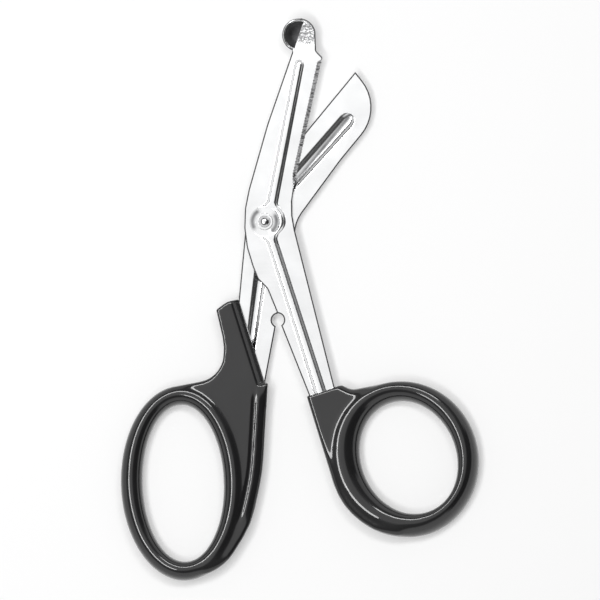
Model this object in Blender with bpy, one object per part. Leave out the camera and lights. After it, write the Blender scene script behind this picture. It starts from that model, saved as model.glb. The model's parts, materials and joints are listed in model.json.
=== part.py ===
# Utility scissors: bent bandage shears with two pressed steel halves and moulded handles.
# They lie flat, half open, front half on top. Metres, +Z towards the viewer.
#
# Each half is drawn in a plan of its own: pivot at the origin, cutting edge along +Y.
# A place on its shank is a pair (down, out): down the shank from the pivot, and out from
# the shank's line through the pivot, positive towards the right of the plan.
import math

import bmesh
import bpy
from mathutils import Matrix, Vector

MM = 0.001

# Steel sheet and pivot
SHEET = 1.6 * MM                  # thickness of the stamped sheet
RUNNING_GAP = 0.3 * MM            # between the two halves, and round each tang
SEAT_GAP = 0.2 * MM               # under the rivet's heads and its washer
PIN_RADIUS = 1.5 * MM
PIN_CLEARANCE = 0.3 * MM
DOME_RADIUS = 2.0 * MM
DOME_HEIGHT = 1.2 * MM
BACK_HEAD_RADIUS = 3.0 * MM
BACK_HEAD_HEIGHT = 0.8 * MM
BACK_HEAD_FLAT = 0.8              # of its radius, flat underside inside the sloped rim
WASHER_RADIUS = 2.85 * MM
WASHER_THICKNESS = 0.5 * MM
WASHER_SLOPE = 0.4                # of its thickness, sloped outer rim
BOSS_RADIUS = 5.8 * MM            # raised ground of the bead round the pivot
DISH_RADIUS = 4.9 * MM            # round seat sunk into that ground
DISH_SLOPE = 0.5 * MM             # how far the seat's wall leans outwards
ROUND_STEPS = 40
DOME_ANGLES = (0, 20, 40, 60, 78) # degrees up the dome, below its crown

# Pose
REAR_LEAN = math.radians(39.5)    # rear cutting edge from upright, to the right
OPENING = math.radians(27.1)      # between the two cutting edges

# Pressed stiffening beads
BEAD_HEIGHT = 0.8 * MM
BEAD_FLANK = 1.6 * MM             # plan width of a bead's sloped side
GROOVE_FLANK = 2.1 * MM
FLANK_SHARE = 0.8                 # the most of a half width that a flank takes up
BEAD_BEND_RADIUS = 14.0 * MM
BEARING_RADIUS = 8.0 * MM         # flat ground round the pivot on the inner faces
BOSS_REACH = 1.75                 # of the boss's radius, bead drawn finely each side of it
BOSS_STATIONS = 9
BOSS_BLEND = 0.8 * MM             # softness where the bead runs into the boss
PATH_SAMPLES = 400
BEAD_END_ANGLES = (12, 35, 60, 90)   # degrees round a bead's half-round end
BEAD_END_RISE = 0.7               # power of the sine, steeper than a ball's end
# Height over the width of a flank, from its foot to the crest
FLANK_PROFILE = ((0.0, 0.0), (0.2, 0.1), (0.46, 0.44), (0.72, 0.82), (1.0, 1.0))

# Both halves
SPINE_RADIUS = 60.0 * MM          # slight bend half way up each blade's back
STEP_TOP_RADIUS = 2.5 * MM        # corners of the step below the heel
STEP_LOW_RADIUS = 4.0 * MM

# Front half, blade
FRONT_EDGE_OUT = 7.2 * MM         # cutting edge line to the pivot
FRONT_EDGE_START = 12.4 * MM
FRONT_EDGE_END = 57.1 * MM
TOOTH_PITCH = 1.0 * MM
TOOTH_DEPTH = 0.22 * MM
EDGE_LAND = 0.25 * MM             # thickness left at a ground edge
FRONT_GRIND = 1.3 * MM            # width of the ground face
GRIND_RUNOUT = 5.0 * MM
FRONT_SPINE_TOP_OUT = 3.15 * MM
FRONT_SPINE_MID_OUT = 6.1 * MM
FRONT_SPINE_MID = 32.0 * MM
FRONT_HEEL_OUT = 8.3 * MM
FRONT_HEEL_DROP = 4.2 * MM
FRONT_HEEL_RADIUS = 40.0 * MM
WAIST_RADIUS = 32.0 * MM          # hollow between cutting edge and shank

# Front half, safety foot
FOOT_RADIUS = 5.7 * MM
FOOT_OUT = 2.2 * MM               # foot centre left of the pivot
FOOT_UP = 63.4 * MM
FOOT_RISE = 1.3 * MM              # rim of the cup above the sheet
FOOT_SINK = 0.7 * MM              # bottom of the cup below the sheet
FOOT_WALL = 0.9 * MM
TOE_NECK_IN = 2.6 * MM            # step from the cutting edge in to the toe
TOE_NECK_RISE = 2.4 * MM
TOE_STEP_SHARE = 0.3              # of that rise, still in the cutting edge's line
TOE_STEP_RADIUS = 0.6 * MM
TOE_NECK_RADIUS = 1.6 * MM
FOOT_NECK_RADIUS = 2.0 * MM       # hollow below the cup, on the blade's back
CREASE_LEAN = math.radians(6.5)   # straight side of the cup, from the cutting edge's line
CREASE_IN = 0.1 * MM              # that side to the foot's centre
TOE_CROWN_START = math.radians(24)   # where the neck runs into the foot's round end
CROWN_OVERLAP = math.radians(12)     # that end goes on under the cup's rim
FOOT_STEPS = 36
HOLLOW_STEPS = 31                 # apart from the foot's, so that no edges coincide
BOWL_LAYERS = (90, 68, 46, 24)    # degrees from the bowl's bottom to its rings
RIM_POWER = 0.6                   # how quickly the rim rises away from the crease
TOE_BOWL_SHARE = 0.9              # of the foot's radius, where it lies inside the toe

# Front half, shank
FRONT_BEND = math.radians(30.2)
FRONT_SHANK_OFFSET = 0.9 * MM
FRONT_SHANK_HALF = 4.5 * MM       # half width where it enters the handle
FRONT_TAPER = 0.063               # growth of that half width towards the pivot
FRONT_STEP_HALF = 9.0 * MM        # half width of the heel above the step
FRONT_STEP_START = 17.6 * MM
FRONT_STEP_END = 21.7 * MM
FRONT_NOTCH_DOWN = 32.7 * MM
NOTCH_RADIUS = 2.2 * MM
NOTCH_OFFSET = 0.6 * MM           # notch centre outside the shank's edge
FRONT_BEAD_OUT = 0.35 * MM
FRONT_BEAD_TOP = 55.4 * MM
FRONT_BEAD_TOP_X = -0.05 * MM
FRONT_BEAD_LEAN = math.radians(1.4)
FRONT_BEAD_TIP_HALF = 1.8 * MM
FRONT_BEAD_HALF = 2.2 * MM
FRONT_GROOVE_HALF = 1.5 * MM

# Rear half
REAR_EDGE_OUT = 8.4 * MM
REAR_EDGE_START = 11.3 * MM
REAR_EDGE_END = 58.0 * MM
REAR_GRIND = 1.5 * MM
NOSE_DROP = 3.1 * MM              # fall of the blade's end from tip to spine line
NOSE_RADIUS = 14.5 * MM
REAR_SPINE_OUT = 6.7 * MM
REAR_SPINE_FOOT_OUT = 8.1 * MM
REAR_SPINE_FOOT = 7.2 * MM
REAR_SPINE_FOOT_RADIUS = 12.0 * MM
REAR_BEND = math.radians(31.6)
REAR_SHANK_OFFSET = 1.9 * MM
REAR_SHANK_HALF = 5.7 * MM
REAR_TAPER = 0.044
REAR_STEP_HALF = 8.7 * MM
REAR_STEP_START = 17.0 * MM
REAR_STEP_END = 21.0 * MM
REAR_NOTCH_DOWN = 32.1 * MM
REAR_BEAD_OUT = 1.1 * MM
REAR_BEAD_TOP = 46.6 * MM
REAR_BEAD_TOP_X = -0.05 * MM
REAR_BEAD_LEAN = math.radians(-2.1)
REAR_BEAD_TIP_HALF = 3.2 * MM
REAR_BEAD_HALF = 3.2 * MM
REAR_GROOVE_TIP_HALF = 2.9 * MM
REAR_GROOVE_HALF = 2.6 * MM

# Tangs and sockets
TANG_SHOULDER = 1.5 * MM          # full width that goes into the mouth
TANG_LENGTH = 14.0 * MM
TANG_HALF = 2.7 * MM
TANG_CORNER = 0.6                 # of the tang's half width, radius of its end's corners

# Handles
HANDLE_THICKNESS = 9.0 * MM
WEB_THICKNESS = 7.4 * MM
MOUTH_CHAMFER = 2.6 * MM
MOUTH_OVERCUT = 0.2 * MM
SOFT_MOUTH = 0.4 * MM
EDGE_SEGMENTS = 4
LOOP_STEPS = 72
LOOP_MIDDLE_STEPS = 14
SECTION_STEPS = 24
LEAST_BAND = 0.6                  # of the band, what its lean may leave of the section
SECTION_POWER = 2.08              # 2 is an ellipse, more is squarer
JOIN_SHARE = 0.98                 # of the band, where the web's edges meet the loop
LOOP_MIDDLE = 0.45                # of the band, hidden inner end of the web

# Finger handle, down and out from the end of its mouth
FINGER_REACH = 53.5 * MM          # pivot to the lower end of the mouth
MOUTH_LENGTH = 26.5 * MM          # along the shank, as the mouth runs askew
SPUR_WIDTH = 7.2 * MM
SPUR_DROP = 4.5 * MM
SPUR_CREST = 0.25                 # of that drop, bulge of the spur's end at half width
SPUR_END_RADIUS = 6.0 * MM
SPUR_WALL = 3.6 * MM              # between shank and hollow of the spur
SPUR_HOLLOW_RADIUS = 10.0 * MM
SPUR_HOLLOW_DROP = 0.3 * MM
SPUR_SWELL_AT = 0.62              # of the mouth's length, start of the parallel wall
SPUR_SWELL_RADIUS = 20.0 * MM
FINGER_SIDE_WALL = 1.0 * MM
FINGER_BACK = ((29.7 * MM, 9.1 * MM, 60.0 * MM),      # down, out and radius of the corners
               (47.5 * MM, 7.8 * MM, 30.0 * MM),      # of the back edge, from the mouth to
               (62.4 * MM, 1.1 * MM, 18.0 * MM))      # the foot of the loop
FINGER_LEFT_JOIN = math.radians(99)                   # angles where the web's edges run
FINGER_RIGHT_JOIN = math.radians(-72)                 # into the loop
JOIN_OVERLAP = math.radians(5)
FINGER_LOOP_DOWN = 37.1 * MM
FINGER_LOOP_OUT = -16.8 * MM      # from the shank's middle line
FINGER_HOLE = (13.5 * MM, 26.2 * MM)
FINGER_BAND = (7.5 * MM, 6.6 * MM)
FINGER_SHIFT = (0.0, 0.0)         # outer ellipse against the hole, across and lengthwise
FINGER_LOOP_TURN = math.radians(9.6)
FINGER_TILT = (-0.17, 0.08)
FINGER_SOFT_EDGE = 1.6 * MM
FINGER_INNER_ROUND = 3.2 * MM

# Thumb handle
THUMB_REACH = 60.0 * MM
THUMB_LOOP_DOWN = 30.1 * MM
THUMB_LOOP_OUT = 20.9 * MM
THUMB_HOLE = (15.8 * MM, 19.2 * MM)
THUMB_BAND = (9.3 * MM, 7.3 * MM)
THUMB_SHIFT = (-1.7 * MM, 0.1 * MM)
THUMB_LOOP_TURN = math.radians(4.0)
THUMB_BACK = ((39.0 * MM, -5.85 * MM, 24.0 * MM),     # down, out and radius of the corners
              (50.7 * MM, 3.0 * MM, 24.0 * MM))       # of the back edge
THUMB_TOP_JOIN = math.radians(84)
THUMB_LOW_JOIN = math.radians(245)
THUMB_TILT = (-0.32, 0.22)
THUMB_SIDE_WALL = 0.9 * MM
THUMB_LIP_WALL = 2.4 * MM
THUMB_SOFT_EDGE = 0.9 * MM
THUMB_TOP_ROUND = 2.8 * MM
LIP_DROP = 2.6 * MM               # the lip's upper corner from its mouth
LIP_SWELL = 2.8 * MM
LIP_RADIUS = 4.0 * MM

MIDDLE = HANDLE_THICKNESS / 2
WEB_BOTTOM = (HANDLE_THICKNESS - WEB_THICKNESS) / 2
ARC_STEP = math.radians(9)
FULL_RUN = 0.98                   # of a straight run, the most that its two arcs take up
SMALLEST_TANGENT = 0.02 * MM      # below it a corner stays sharp


# Scene and materials

for leftover in list(bpy.data.objects):
    bpy.data.objects.remove(leftover)


def make_material(name, colour, metallic, roughness):
    material = bpy.data.materials.new(name)
    material.use_nodes = True
    shader = material.node_tree.nodes["Principled BSDF"]
    shader.inputs["Base Color"].default_value = (*colour, 1.0)
    shader.inputs["Metallic"].default_value = metallic
    shader.inputs["Roughness"].default_value = roughness
    material.diffuse_color = (*colour, 1.0)
    return material


steel = make_material("polished_steel", (0.72, 0.73, 0.74), 1.0, 0.22)
rivet_steel = make_material("rivet_steel", (0.55, 0.56, 0.57), 1.0, 0.18)
black_plastic = make_material("black_plastic", (0.012, 0.012, 0.013), 0.0, 0.28)


def make_object(name, mesh_source, material=None):
    """A mesh object from a bmesh, smooth except at its sharp edges."""
    bmesh.ops.recalc_face_normals(mesh_source, faces=mesh_source.faces)
    mesh = bpy.data.meshes.new(name)
    mesh_source.to_mesh(mesh)
    mesh_source.free()
    mesh.shade_smooth()
    mesh.set_sharp_from_angle(angle=math.radians(35))
    made = bpy.data.objects.new(name, mesh)
    bpy.context.scene.collection.objects.link(made)
    if material:
        mesh.materials.append(material)
    else:
        made.hide_render = True
        made.display_type = "WIRE"
    return made


def combine(target, operation, tool):
    """Join or cut target with a hidden tool shape."""
    step = target.modifiers.new(tool.name, "BOOLEAN")
    step.operation = operation
    step.solver = "EXACT"
    step.object = tool


# Outlines

def rounded_path(corners):
    """Points along straight runs whose inner corners (x, y, radius) are arcs."""
    places = [Vector(corner[:2]) for corner in corners]
    turns = [0.0] * len(corners)
    tangents = [0.0] * len(corners)
    for i in range(1, len(corners) - 1):
        run_in = places[i] - places[i - 1]
        run_out = places[i + 1] - places[i]
        turns[i] = math.atan2(run_in.cross(run_out), run_in.dot(run_out))
        tangents[i] = corners[i][2] * math.tan(abs(turns[i]) / 2)
    # Two arcs that share a run take no more than its length
    shares = [1.0] * len(corners)
    for i in range(len(corners) - 1):
        run = (places[i + 1] - places[i]).length
        wanted = tangents[i] + tangents[i + 1]
        if wanted > FULL_RUN * run:
            shares[i] = min(shares[i], FULL_RUN * run / wanted)
            shares[i + 1] = min(shares[i + 1], FULL_RUN * run / wanted)
    path = [places[0]]
    for i in range(1, len(corners) - 1):
        tangent = tangents[i] * shares[i]
        if tangent < SMALLEST_TANGENT:
            path.append(places[i])
            continue
        run_in = places[i] - places[i - 1]
        start = places[i] - run_in.normalized() * tangent
        side = math.copysign(tangent / math.tan(abs(turns[i]) / 2), turns[i])
        centre = start + Vector((-run_in.y, run_in.x)).normalized() * side
        steps = max(2, round(abs(turns[i]) / ARC_STEP))
        for k in range(steps + 1):
            spoke = start - centre
            spoke.rotate(Matrix.Rotation(turns[i] * k / steps, 2))
            path.append(centre + spoke)
    path.append(places[-1])
    return path


def arc(centre, radius, start, end):
    """Points on a circle from one angle to another."""
    steps = max(3, round(abs(end - start) / ARC_STEP))
    angles = [start + (end - start) * i / steps for i in range(steps + 1)]
    return [centre + radius * Vector((math.cos(a), math.sin(a))) for a in angles]


class Shank:
    """The bent lower part of one half, from its pivot to its tang."""

    def __init__(self, bend, offset, half, taper, reach, inner):
        self.along = Vector((math.sin(bend), -math.cos(bend)))
        self.across = Vector((math.cos(bend), math.sin(bend)))
        self.offset = offset
        self.half = half
        self.taper = taper
        self.reach = reach
        self.inner = inner            # -1 or 1, the side that faces the other half

    def place(self, down, out):
        return self.along * down + self.across * out

    def half_at(self, down):
        return self.half + self.taper * (self.reach - down)

    def edge(self, down, side, grow=0.0):
        return self.place(down, self.offset + side * (self.half_at(down) + grow))

    def middle(self, down, out=0.0):
        return self.place(down, self.offset + out)


front_shank = Shank(FRONT_BEND, FRONT_SHANK_OFFSET, FRONT_SHANK_HALF, FRONT_TAPER,
                    THUMB_REACH, -1)
rear_shank = Shank(REAR_BEND, REAR_SHANK_OFFSET, REAR_SHANK_HALF, REAR_TAPER,
                   FINGER_REACH, 1)


def tang_outline(shank, grow=0.0):
    """The hidden tongue, from the shank's left edge round to its right edge."""
    shoulder = shank.reach + TANG_SHOULDER + grow
    end = shank.reach + TANG_SHOULDER + TANG_LENGTH + grow
    half = TANG_HALF + grow
    corners = [(*shank.edge(shoulder, -1, grow), 0.0),
               (*shank.middle(shoulder, -half), 0.0),
               (*shank.middle(end, -half), half * TANG_CORNER),
               (*shank.middle(end, half), half * TANG_CORNER),
               (*shank.middle(shoulder, half), 0.0),
               (*shank.edge(shoulder, 1, grow), 0.0)]
    return rounded_path(corners)


def notch(shank, down):
    """The half-round wire notch in a shank's inner edge, going down the shank."""
    edge = shank.edge(down, shank.inner)
    centre = edge + shank.across * shank.inner * NOTCH_OFFSET
    reach = math.sqrt(NOTCH_RADIUS ** 2 - NOTCH_OFFSET ** 2)
    outward = math.atan2(shank.across.y * shank.inner, shank.across.x * shank.inner)
    open_half = math.atan2(reach, NOTCH_OFFSET)
    points = arc(centre, NOTCH_RADIUS, outward + math.pi - open_half,
                 outward + math.pi + open_half)
    if (points[0] - points[-1]).dot(shank.along) > 0:
        points.reverse()
    return points


# The front half's outline, anticlockwise, without its cutting edge

foot_centre = Vector((-FOOT_OUT, FOOT_UP))
crease = Vector((math.sin(CREASE_LEAN), math.cos(CREASE_LEAN)))
crease_out = Vector((-crease.y, crease.x))
crease_middle = foot_centre - crease_out * CREASE_IN


def front_outline():
    toe_x = FRONT_EDGE_OUT - TOE_NECK_IN
    toe_y = FRONT_EDGE_END + TOE_NECK_RISE
    crown_end = math.atan2(crease.y, crease.x) + CROWN_OVERLAP
    crown = arc(foot_centre, FOOT_RADIUS, TOE_CROWN_START, crown_end)
    toe = rounded_path([(FRONT_EDGE_OUT, FRONT_EDGE_END, 0.0),
                        (FRONT_EDGE_OUT, FRONT_EDGE_END + TOE_NECK_RISE * TOE_STEP_SHARE,
                         TOE_STEP_RADIUS),
                        (toe_x, toe_y, TOE_NECK_RADIUS),
                        (*crown[0], 0.0)])
    shank = front_shank
    spine = rounded_path([(*crown[-1], 0.0),
                          (-FRONT_SPINE_TOP_OUT, FRONT_EDGE_END, FOOT_NECK_RADIUS),
                          (-FRONT_SPINE_MID_OUT, FRONT_SPINE_MID, SPINE_RADIUS),
                          (-FRONT_HEEL_OUT, -FRONT_HEEL_DROP, FRONT_HEEL_RADIUS),
                          (*shank.middle(FRONT_STEP_START, -FRONT_STEP_HALF),
                           STEP_TOP_RADIUS),
                          (*shank.edge(FRONT_STEP_END, -1), STEP_LOW_RADIUS),
                          (*notch(shank, FRONT_NOTCH_DOWN)[0], 0.0)])[1:-1]
    waist = rounded_path([(*shank.edge(shank.reach, 1), 0.0),
                          (*edge_meets(shank, FRONT_EDGE_OUT), WAIST_RADIUS),
                          (FRONT_EDGE_OUT, FRONT_EDGE_START + GRIND_RUNOUT, 0.0)])[1:-1]
    return toe + crown[1:] + spine + notch(shank, FRONT_NOTCH_DOWN) + tang_outline(shank) + waist


def edge_meets(shank, x):
    """Where the shank's outer edge line crosses an upright line at x."""
    side = -shank.inner
    top = shank.edge(0.0, side)
    low = shank.edge(shank.reach, side)
    return top + (low - top) * (x - top.x) / (low.x - top.x)


def rear_outline():
    """The rear half's outline, anticlockwise, without its cutting edge."""
    shank = rear_shank
    spine_notch = list(reversed(notch(shank, REAR_NOTCH_DOWN)))
    waist = rounded_path([(-REAR_EDGE_OUT, REAR_EDGE_START + GRIND_RUNOUT, 0.0),
                          (*edge_meets(shank, -REAR_EDGE_OUT), WAIST_RADIUS),
                          (*shank.edge(shank.reach, -1), 0.0)])[1:-1]
    spine = rounded_path([(*spine_notch[-1], 0.0),
                          (*shank.edge(REAR_STEP_END, 1), STEP_LOW_RADIUS),
                          (*shank.middle(REAR_STEP_START, REAR_STEP_HALF), STEP_TOP_RADIUS),
                          (REAR_SPINE_FOOT_OUT, REAR_SPINE_FOOT, REAR_SPINE_FOOT_RADIUS),
                          (REAR_SPINE_OUT, REAR_BEAD_TOP - NOSE_RADIUS, SPINE_RADIUS),
                          (REAR_SPINE_OUT, REAR_EDGE_END - NOSE_DROP, NOSE_RADIUS),
                          (-REAR_EDGE_OUT, REAR_EDGE_END, 0.0)])[1:]
    return waist + tang_outline(shank) + spine_notch + spine


def ground_edge(x, start, end, width, pitch, depth):
    """Cutting edge points from start to end, each with its grind width, in pairs."""
    count = max(1, round((end - start) / pitch)) * 2
    points = []
    for i in range(1, count):
        y = start + (end - start) * i / count
        runout = min(1.0, (y - start) / GRIND_RUNOUT, (end - y) / pitch)
        points.append((Vector((x - depth * (i % 2), y)), width * runout))
    return points


# Pressed sheet

def sheet_solid(outline, edge_points, inner_z, side, towards):
    """Sheet with a ground edge: inner face, land of the edge, outer face."""
    points = [(p, 0.0) for p in outline] + edge_points
    levels = [(inner_z, False), (inner_z + side * EDGE_LAND, False),
              (inner_z + side * SHEET, True)]
    bm = bmesh.new()
    rings = []
    for z, ground in levels:
        rings.append([bm.verts.new((p.x + (towards * grind if ground else 0.0), p.y, z))
                      for p, grind in points])
    for low, high in zip(rings, rings[1:]):
        for i in range(len(points)):
            j = (i + 1) % len(points)
            bm.faces.new((low[i], low[j], high[j], high[i]))
    bm.faces.new(rings[0])
    bm.faces.new(rings[-1])
    return bm


def bead_solid(stations, flank, base_z, height, sink):
    """A ridge through stations (centre, right-hand normal, half width, height share)."""
    bm = bmesh.new()
    rings = []
    for centre, normal, half, share in stations:
        slope = min(flank, FLANK_SHARE * half)
        profile = [(slope * t - half, rise) for t, rise in FLANK_PROFILE]
        profile += [(-across, rise) for across, rise in reversed(profile)]
        ring = []
        for across, rise in profile:
            p = centre + normal * across
            ring.append(bm.verts.new((p.x, p.y, base_z + height * rise * share)))
        for across in (half, -half):
            p = centre + normal * across
            ring.append(bm.verts.new((p.x, p.y, base_z - sink)))
        rings.append(ring)
    for low, high in zip(rings, rings[1:]):
        for i in range(len(low)):
            j = (i + 1) % len(low)
            bm.faces.new((low[i], low[j], high[j], high[i]))
    bm.faces.new(rings[0])
    bm.faces.new(rings[-1])
    return bm


def round_end(half):
    """Steps of a half-round end: distance in from the end, half width, height share."""
    angles = [math.radians(a) for a in BEAD_END_ANGLES]
    return [(half * (1 - math.cos(a)), half * math.sin(a), math.sin(a) ** BEAD_END_RISE)
            for a in angles]


def straight_bead(start, end, half_start, half_end, flank, base_z, height, sink):
    """A straight bead with a half-round end at both ends."""
    run = end - start
    along = run.normalized()
    normal = Vector((along.y, -along.x))
    stations = [(start + along * d, normal, h, share) for d, h, share in round_end(half_start)]
    stations += [(end - along * d, normal, h, share)
                 for d, h, share in reversed(round_end(half_end))]
    return bead_solid(stations, flank, base_z, height, sink)


def bent_bead(top, lean, shank, bead_out, half_top, half_low, base_z, height, sink):
    """The outer bead: down the blade, round the pivot's boss and on into the tang."""
    blade = Vector((math.sin(lean), -math.cos(lean)))
    foot = shank.place(0.0, bead_out)
    # Corner where the blade's bead line meets the shank's
    gap = foot - top
    reach = gap.cross(shank.along) / blade.cross(shank.along)
    corner = top + blade * reach
    turn = math.atan2(blade.cross(shank.along), blade.dot(shank.along))
    tangent = BEAD_BEND_RADIUS * math.tan(abs(turn) / 2)
    bend_start = corner - blade * tangent
    left = Vector((-blade.y, blade.x))
    centre = bend_start + left * math.copysign(BEAD_BEND_RADIUS, turn)
    bend_length = BEAD_BEND_RADIUS * abs(turn)
    end = shank.reach + TANG_SHOULDER + TANG_LENGTH
    low_length = end - (corner + shank.along * tangent).dot(shank.along)
    blade_length = (bend_start - top).length
    total = blade_length + bend_length + low_length

    def at(distance):
        if distance < blade_length:
            return top + blade * distance, blade
        if distance > blade_length + bend_length:
            extra = distance - blade_length - bend_length
            return corner + shank.along * (tangent + extra), shank.along
        angle = math.copysign((distance - blade_length) / BEAD_BEND_RADIUS, turn)
        spin = Matrix.Rotation(angle, 2)
        spoke = bend_start - centre
        spoke.rotate(spin)
        heading = blade.copy()
        heading.rotate(spin)
        return centre + spoke, heading

    # The boss lies where the path passes the pivot
    samples = [total * i / PATH_SAMPLES for i in range(PATH_SAMPLES + 1)]
    middle = min(samples, key=lambda d: at(d)[0].length)
    marks = [(d, h, share) for d, h, share in round_end(half_top)]
    for i in range(-BOSS_STATIONS, BOSS_STATIONS + 1):
        swing = math.pi / 2 * i / BOSS_STATIONS
        d = middle + BOSS_REACH * BOSS_RADIUS * math.sin(swing)
        offset = abs(d - middle)
        bead_half = half_top + (half_low - half_top) * d / total
        boss = math.sqrt(max(0.0, BOSS_RADIUS ** 2 - offset ** 2))
        half = (bead_half + boss + math.hypot(bead_half - boss, BOSS_BLEND)) / 2
        marks.append((d, min(half, BOSS_RADIUS), 1.0))
    marks += [(total - d, h, share) for d, h, share in reversed(round_end(half_low))]
    stations = []
    for d, half, share in marks:
        point, heading = at(d)
        stations.append((point, Vector((heading.y, -heading.x)), half, share))
    return bead_solid(stations, BEAD_FLANK, base_z, height, sink)


def turned(profile, steps):
    """A round solid from (radius, z) points that start and end on the axis."""
    bm = bmesh.new()
    verts = [bm.verts.new((radius, 0.0, z)) for radius, z in profile]
    edges = [bm.edges.new(pair) for pair in zip(verts, verts[1:])]
    bmesh.ops.spin(bm, geom=verts + edges, cent=(0, 0, 0), axis=(0, 0, 1),
                   angle=2 * math.pi, steps=steps, use_merge=True)
    bmesh.ops.remove_doubles(bm, verts=bm.verts, dist=0.001 * MM)
    return bm


def pivot_dish(name, outer_z, side):
    """Cutter for the sunk seat in the boss and the hole through the sheet."""
    bore = PIN_RADIUS + PIN_CLEARANCE
    top = outer_z + side * (BEAD_HEIGHT + SHEET)
    wall_top = DISH_RADIUS + DISH_SLOPE * (BEAD_HEIGHT + SHEET) / BEAD_HEIGHT
    far = outer_z - side * 2 * SHEET
    profile = [(0.0, far), (bore, far), (bore, outer_z), (DISH_RADIUS, outer_z),
               (wall_top, top), (0.0, top)]
    return make_object(name, turned(profile, ROUND_STEPS))


def press_half(plate, name, shank, side, inner_z, bead, groove):
    """Beads, grooves and the pivot's seat of one half."""
    outer_z = inner_z + side * SHEET
    top, lean, bead_out, half_top, half_low = bead
    combine(plate, "UNION", make_object(
        name + "_bead",
        bent_bead(top, lean, shank, bead_out, half_top, half_low, outer_z,
                  side * BEAD_HEIGHT, side * SHEET / 2)))
    groove_tip, groove_half = groove
    blade = Vector((math.sin(lean), -math.cos(lean)))
    blade_end = top + blade * (top.y - BEARING_RADIUS)
    combine(plate, "DIFFERENCE", make_object(
        name + "_blade_groove",
        straight_bead(top + blade * (half_top - groove_tip), blade_end, groove_tip,
                      groove_half, GROOVE_FLANK, inner_z, side * BEAD_HEIGHT,
                      side * SHEET / 2)))
    combine(plate, "DIFFERENCE", make_object(
        name + "_shank_groove",
        straight_bead(shank.place(BEARING_RADIUS, bead_out),
                      shank.place(shank.reach + TANG_LENGTH, bead_out),
                      groove_half, min(groove_half, TANG_HALF / 2), GROOVE_FLANK, inner_z,
                      side * BEAD_HEIGHT, side * SHEET / 2)))
    combine(plate, "DIFFERENCE", pivot_dish(name + "_dish", outer_z, side))


front_inner = MIDDLE + RUNNING_GAP / 2
rear_inner = MIDDLE - RUNNING_GAP / 2


# Safety foot: a small cup left of the crease, open towards the viewer

def foot_bowl(radius, rise, bottom, back_share, back_top, lift, steps):
    """A bowl whose rim rises left of the crease; right of it the rim stays low."""
    bm = bmesh.new()
    rings = [[] for _ in BOWL_LAYERS]
    for i in range(steps):
        angle = 2 * math.pi * i / steps
        spoke = Vector((math.cos(angle), math.sin(angle)))
        swing = spoke.dot(crease_out)
        if swing > 0:
            reach = radius
            top = rise * swing ** RIM_POWER + front_inner + SHEET
        else:
            reach = radius * back_share
            top = back_top
        for ring, layer in zip(rings, BOWL_LAYERS):
            slope = math.radians(layer)
            p = foot_centre + spoke * reach * math.sin(slope)
            z = top - (top - bottom) * math.cos(slope)
            ring.append(bm.verts.new((p.x, p.y, z)))
    for high, low in zip(rings, rings[1:]):
        for i in range(steps):
            j = (i + 1) % steps
            bm.faces.new((high[i], high[j], low[j], low[i]))
    bottom_vert = bm.verts.new((*foot_centre, bottom))
    lid_vert = bm.verts.new((*foot_centre, back_top + lift))
    upper = rings[0]
    if lift:
        upper = [bm.verts.new((v.co.x, v.co.y, back_top + lift)) for v in rings[0]]
        for i in range(steps):
            j = (i + 1) % steps
            bm.faces.new((rings[0][i], rings[0][j], upper[j], upper[i]))
    for i in range(steps):
        j = (i + 1) % steps
        bm.faces.new((rings[-1][i], rings[-1][j], bottom_vert))
        bm.faces.new((upper[i], upper[j], lid_vert))
    return bm


def make_foot(plate):
    bottom = front_inner - FOOT_SINK
    body = foot_bowl(FOOT_RADIUS, FOOT_RISE, bottom, TOE_BOWL_SHARE, front_inner + SHEET / 2,
                     0.0, FOOT_STEPS)
    combine(plate, "UNION", make_object("foot_cup", body))
    hollow = foot_bowl(FOOT_RADIUS - FOOT_WALL, FOOT_RISE, bottom + FOOT_WALL, 1.0,
                       front_inner + SHEET, 3 * SHEET, HOLLOW_STEPS)
    cut = bmesh.ops.bisect_plane(hollow, geom=hollow.verts[:] + hollow.edges[:] + hollow.faces[:],
                                 plane_co=(*crease_middle, 0.0), plane_no=(*crease_out, 0.0),
                                 clear_inner=True)
    rim = [e for e in cut["geom_cut"] if isinstance(e, bmesh.types.BMEdge)]
    bmesh.ops.contextual_create(hollow, geom=rim)
    combine(plate, "DIFFERENCE", make_object("foot_hollow", hollow))


# The two steel halves

def make_serrated_blade():
    edge = ground_edge(FRONT_EDGE_OUT, FRONT_EDGE_START, FRONT_EDGE_END, FRONT_GRIND,
                       TOOTH_PITCH, TOOTH_DEPTH)
    plate = make_object("serrated_blade", sheet_solid(front_outline(), edge, front_inner, 1, -1),
                        steel)
    bead = (Vector((FRONT_BEAD_TOP_X, FRONT_BEAD_TOP)), FRONT_BEAD_LEAN, FRONT_BEAD_OUT,
            FRONT_BEAD_TIP_HALF, FRONT_BEAD_HALF)
    make_foot(plate)
    press_half(plate, "front", front_shank, 1, front_inner, bead,
               (FRONT_GROOVE_HALF, FRONT_GROOVE_HALF))
    return plate


def make_plain_blade():
    edge = ground_edge(-REAR_EDGE_OUT, REAR_EDGE_START, REAR_EDGE_END, REAR_GRIND,
                       GRIND_RUNOUT, 0.0)
    edge.reverse()
    plate = make_object("plain_blade", sheet_solid(rear_outline(), edge, rear_inner, -1, 1),
                        steel)
    bead = (Vector((REAR_BEAD_TOP_X, REAR_BEAD_TOP)), REAR_BEAD_LEAN, REAR_BEAD_OUT,
            REAR_BEAD_TIP_HALF, REAR_BEAD_HALF)
    press_half(plate, "rear", rear_shank, -1, rear_inner, bead,
               (REAR_GROOVE_TIP_HALF, REAR_GROOVE_HALF))
    return plate


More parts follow.
